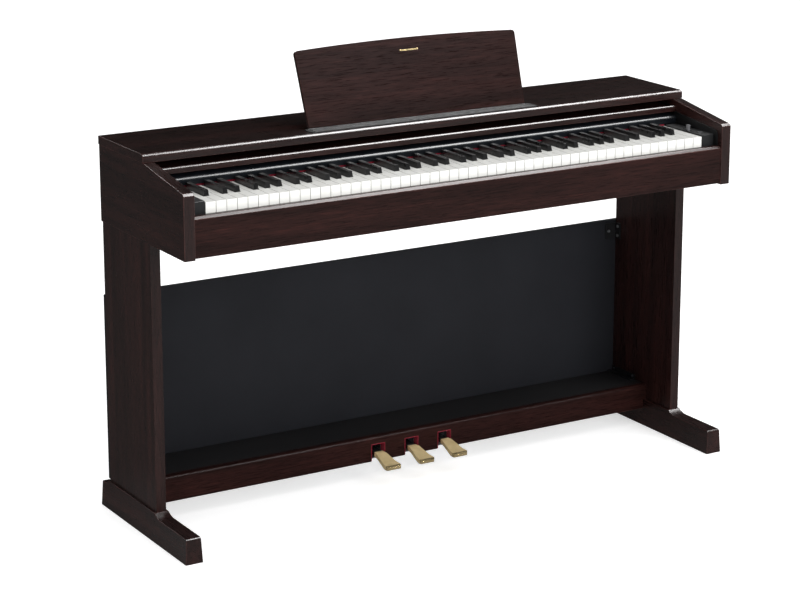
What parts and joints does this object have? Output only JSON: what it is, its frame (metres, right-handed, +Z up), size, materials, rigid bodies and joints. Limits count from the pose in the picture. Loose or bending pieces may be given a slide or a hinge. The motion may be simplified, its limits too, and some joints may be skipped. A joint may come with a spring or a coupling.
{
  "type": "digital piano on stand",
  "caption": "Console digital piano in dark rosewood: weighted keyboard, sliding key cover, folding music rest and a panel stand with sprung brass pedals.",
  "frame": {"origin": "on the floor, under the centre of the whole piano's plan", "axes": "+X to the player's right (treble), +Y away from the player, +Z up"},
  "size_m": [1.357, 0.422, 0.9808],
  "materials": {
    "rosewood_veneer": "dark rosewood grain foil, satin",
    "black_board": "black foil on particle board, matte",
    "back_board_paint": "blue-grey black painted board, matte",
    "gloss_black_plastic": "black, glossy",
    "matte_black_plastic": "black, fine grained",
    "end_block_plastic": "dark grey, fine grained",
    "button_plastic": "dark grey, smooth",
    "steel": "zinc plated",
    "chassis_steel": "light grey sheet steel",
    "keybed_steel": "dark grey sheet steel",
    "black_steel": "black, satin",
    "red_felt": "red felt",
    "white_key_plastic": "white, glossy",
    "black_key_plastic": "black, matte",
    "speaker_cone": "black paper cone and magnet",
    "circuit_board": "green board with parts",
    "pedal_brass": "satin brass with polished edges"
  },
  "bodies": {
    "piano": {"top_board": "rosewood_veneer", "side_panel_left": "rosewood_veneer", "side_panel_right": "rosewood_veneer", "front_rail": "rosewood_veneer", "leg_left": "rosewood_veneer", "leg_right": "rosewood_veneer", "foot_left": "rosewood_veneer", "foot_right": "rosewood_veneer", "pedal_box_front": "rosewood_veneer", "bottom_board": "black_board", "rear_board": "black_board", "pedal_box_top": "black_board", "back_board": "back_board_paint", "control_panel": "gloss_black_plastic", "music_ledge": "gloss_black_plastic", "cover_guide_left": "matte_black_plastic", "cover_guide_right": "matte_black_plastic", "jack_panel": "matte_black_plastic", "end_block_left": "end_block_plastic", "end_block_right": "end_block_plastic", "rest_hinges": "steel", "key_pivot_rod": "steel", "pedal_spring_left": "steel", "pedal_spring_centre": "steel", "pedal_spring_right": "steel", "stand_screws": "steel", "pedal_chassis": "chassis_steel", "key_chassis": "keybed_steel", "corner_brackets": "black_steel", "speaker_grilles": "black_steel", "key_felts": "red_felt", "pedal_felts": "red_felt", "speakers": "speaker_cone", "main_circuit_board": "circuit_board"},
    "keys_c": {"keys_c": "white_key_plastic"},
    "keys_d": {"keys_d": "white_key_plastic"},
    "keys_e": {"keys_e": "white_key_plastic"},
    "keys_f": {"keys_f": "white_key_plastic"},
    "keys_g": {"keys_g": "white_key_plastic"},
    "keys_a": {"keys_a": "white_key_plastic"},
    "keys_b": {"keys_b": "white_key_plastic"},
    "key_middle_c": {"key_middle_c": "white_key_plastic"},
    "keys_c_sharp": {"keys_c_sharp": "black_key_plastic"},
    "keys_d_sharp": {"keys_d_sharp": "black_key_plastic"},
    "keys_f_sharp": {"keys_f_sharp": "black_key_plastic"},
    "keys_g_sharp": {"keys_g_sharp": "black_key_plastic"},
    "keys_a_sharp": {"keys_a_sharp": "black_key_plastic"},
    "key_cover": {"key_cover": "rosewood_veneer"},
    "power_button": {"power_button": "button_plastic"},
    "volume_slider": {"volume_slider": "button_plastic"},
    "song_button": {"song_button": "button_plastic"},
    "metronome_button": {"metronome_button": "button_plastic"},
    "record_button": {"record_button": "button_plastic"},
    "voice_button": {"voice_button": "button_plastic"},
    "pedal_left": {"pedal_left": "pedal_brass"},
    "pedal_centre": {"pedal_centre": "pedal_brass"},
    "pedal_right": {"pedal_right": "pedal_brass"},
    "rest_stay": {"rest_stay": "steel"},
    "music_rest": {"music_rest": "rosewood_veneer", "rest_brackets": "steel"}
  },
  "joints": [
    {"name": "press_keys_c", "type": "hinge", "parent": "piano", "child": "keys_c", "pos_m": [0, 0.045, 0.719], "axis": [1, 0, 0], "range_deg": [0, 2.49], "stiffness_Nm_per_rad": 4, "springref_deg": -17.19},
    {"name": "press_keys_d", "type": "hinge", "parent": "piano", "child": "keys_d", "pos_m": [0, 0.045, 0.719], "axis": [1, 0, 0], "range_deg": [0, 2.49], "stiffness_Nm_per_rad": 4, "springref_deg": -17.19},
    {"name": "press_keys_e", "type": "hinge", "parent": "piano", "child": "keys_e", "pos_m": [0, 0.045, 0.719], "axis": [1, 0, 0], "range_deg": [0, 2.49], "stiffness_Nm_per_rad": 4, "springref_deg": -17.19},
    {"name": "press_keys_f", "type": "hinge", "parent": "piano", "child": "keys_f", "pos_m": [0, 0.045, 0.719], "axis": [1, 0, 0], "range_deg": [0, 2.49], "stiffness_Nm_per_rad": 4, "springref_deg": -17.19},
    {"name": "press_keys_g", "type": "hinge", "parent": "piano", "child": "keys_g", "pos_m": [0, 0.045, 0.719], "axis": [1, 0, 0], "range_deg": [0, 2.49], "stiffness_Nm_per_rad": 4, "springref_deg": -17.19},
    {"name": "press_keys_a", "type": "hinge", "parent": "piano", "child": "keys_a", "pos_m": [0, 0.045, 0.719], "axis": [1, 0, 0], "range_deg": [0, 2.49], "stiffness_Nm_per_rad": 4, "springref_deg": -17.19},
    {"name": "press_keys_b", "type": "hinge", "parent": "piano", "child": "keys_b", "pos_m": [0, 0.045, 0.719], "axis": [1, 0, 0], "range_deg": [0, 2.49], "stiffness_Nm_per_rad": 4, "springref_deg": -17.19},
    {"name": "press_key_middle_c", "type": "hinge", "parent": "piano", "child": "key_middle_c", "pos_m": [0, 0.045, 0.719], "axis": [1, 0, 0], "range_deg": [0, 2.49], "stiffness_Nm_per_rad": 0.8, "springref_deg": -17.19},
    {"name": "press_keys_c_sharp", "type": "hinge", "parent": "piano", "child": "keys_c_sharp", "pos_m": [0, 0.045, 0.719], "axis": [1, 0, 0], "range_deg": [0, 2.49], "stiffness_Nm_per_rad": 4, "springref_deg": -17.19},
    {"name": "press_keys_d_sharp", "type": "hinge", "parent": "piano", "child": "keys_d_sharp", "pos_m": [0, 0.045, 0.719], "axis": [1, 0, 0], "range_deg": [0, 2.49], "stiffness_Nm_per_rad": 4, "springref_deg": -17.19},
    {"name": "press_keys_f_sharp", "type": "hinge", "parent": "piano", "child": "keys_f_sharp", "pos_m": [0, 0.045, 0.719], "axis": [1, 0, 0], "range_deg": [0, 2.49], "stiffness_Nm_per_rad": 4, "springref_deg": -17.19},
    {"name": "press_keys_g_sharp", "type": "hinge", "parent": "piano", "child": "keys_g_sharp", "pos_m": [0, 0.045, 0.719], "axis": [1, 0, 0], "range_deg": [0, 2.49], "stiffness_Nm_per_rad": 4, "springref_deg": -17.19},
    {"name": "press_keys_a_sharp", "type": "hinge", "parent": "piano", "child": "keys_a_sharp", "pos_m": [0, 0.045, 0.719], "axis": [1, 0, 0], "range_deg": [0, 2.49], "stiffness_Nm_per_rad": 4, "springref_deg": -17.19},
    {"name": "cover_slide", "type": "slide", "parent": "piano", "child": "key_cover", "axis": [0, -0.9936, -0.1132], "range_m": [0, 0.156]},
    {"name": "rest_fold", "type": "hinge", "parent": "piano", "child": "music_rest", "pos_m": [0, 0.023, 0.821], "axis": [-1, 0, 0], "range_deg": [0, 71.5]},
    {"name": "stay_fold", "type": "hinge", "parent": "music_rest", "child": "rest_stay", "pos_m": [0, 0.04965, 0.89433], "axis": [1, 0, 0], "range_deg": [0, 143]},
    {"name": "press_pedal_left", "type": "hinge", "parent": "piano", "child": "pedal_left", "pos_m": [-0.086, 0.119, 0.0606], "axis": [1, 0, 0], "range_deg": [0, 6], "stiffness_Nm_per_rad": 20, "springref_deg": -5.73, "deforming": ["pedal_spring_left"]},
    {"name": "press_pedal_centre", "type": "hinge", "parent": "piano", "child": "pedal_centre", "pos_m": [0, 0.119, 0.0606], "axis": [1, 0, 0], "range_deg": [0, 6], "stiffness_Nm_per_rad": 20, "springref_deg": -5.73, "deforming": ["pedal_spring_centre"]},
    {"name": "press_pedal_right", "type": "hinge", "parent": "piano", "child": "pedal_right", "pos_m": [0.086, 0.119, 0.0606], "axis": [1, 0, 0], "range_deg": [0, 6], "stiffness_Nm_per_rad": 20, "springref_deg": -5.73, "deforming": ["pedal_spring_right"]},
    {"name": "press_power_button", "type": "slide", "parent": "piano", "child": "power_button", "axis": [0, 0, -1], "range_m": [0, 0.001], "stiffness_N_per_m": 300, "springref_m": -0.001},
    {"name": "press_song_button", "type": "slide", "parent": "piano", "child": "song_button", "axis": [0, 0, -1], "range_m": [0, 0.001], "stiffness_N_per_m": 300, "springref_m": -0.001},
    {"name": "press_metronome_button", "type": "slide", "parent": "piano", "child": "metronome_button", "axis": [0, 0, -1], "range_m": [0, 0.001], "stiffness_N_per_m": 300, "springref_m": -0.001},
    {"name": "press_record_button", "type": "slide", "parent": "piano", "child": "record_button", "axis": [0, 0, -1], "range_m": [0, 0.001], "stiffness_N_per_m": 300, "springref_m": -0.001},
    {"name": "press_voice_button", "type": "slide", "parent": "piano", "child": "voice_button", "axis": [0, 0, -1], "range_m": [0, 0.001], "stiffness_N_per_m": 300, "springref_m": -0.001},
    {"name": "volume_slide", "type": "slide", "parent": "piano", "child": "volume_slider", "axis": [0, 1, 0], "range_m": [-0.015, 0.015]}
  ],
  "couplings": [
    {"joint": "stay_fold", "follows": "rest_fold", "ratio": 2}
  ]
}
